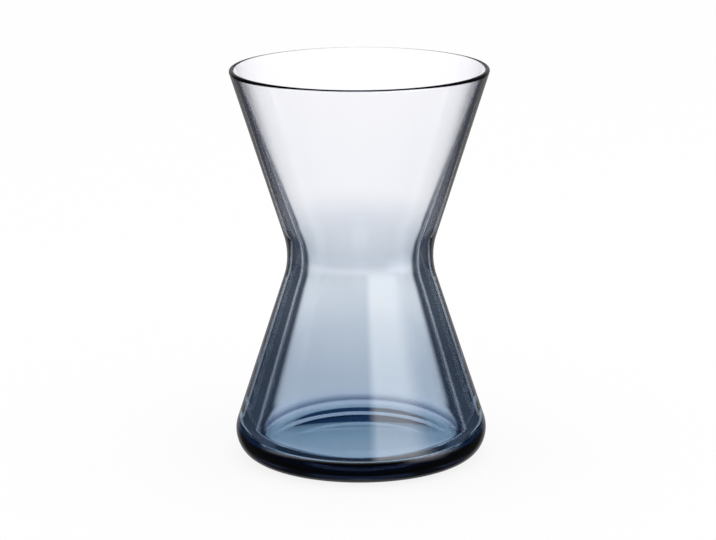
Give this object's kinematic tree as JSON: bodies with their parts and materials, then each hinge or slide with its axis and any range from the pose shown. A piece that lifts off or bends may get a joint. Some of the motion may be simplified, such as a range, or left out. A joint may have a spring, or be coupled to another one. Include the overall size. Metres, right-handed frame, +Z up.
{
  "type": "mini glass vase",
  "caption": "Small hourglass vase in blue glass that clears towards the lip, with a thin round mouth, a drawn-in waist and a thick rounded base.",
  "frame": {"origin": "centre of the ring that the vase stands on, at the table", "axes": "+Z up along the vase's axis of revolution, towards the mouth; X and Y are alike"},
  "size_m": [0.0784, 0.0784, 0.12],
  "materials": {
    "blue_glass": "clear through-coloured glass, slate blue in the thick base and almost clear with a lilac cast at the lip, fire-polished and smooth all over"
  },
  "bodies": {
    "root": {"vase_body": "blue_glass"}
  },
  "joints": []
}
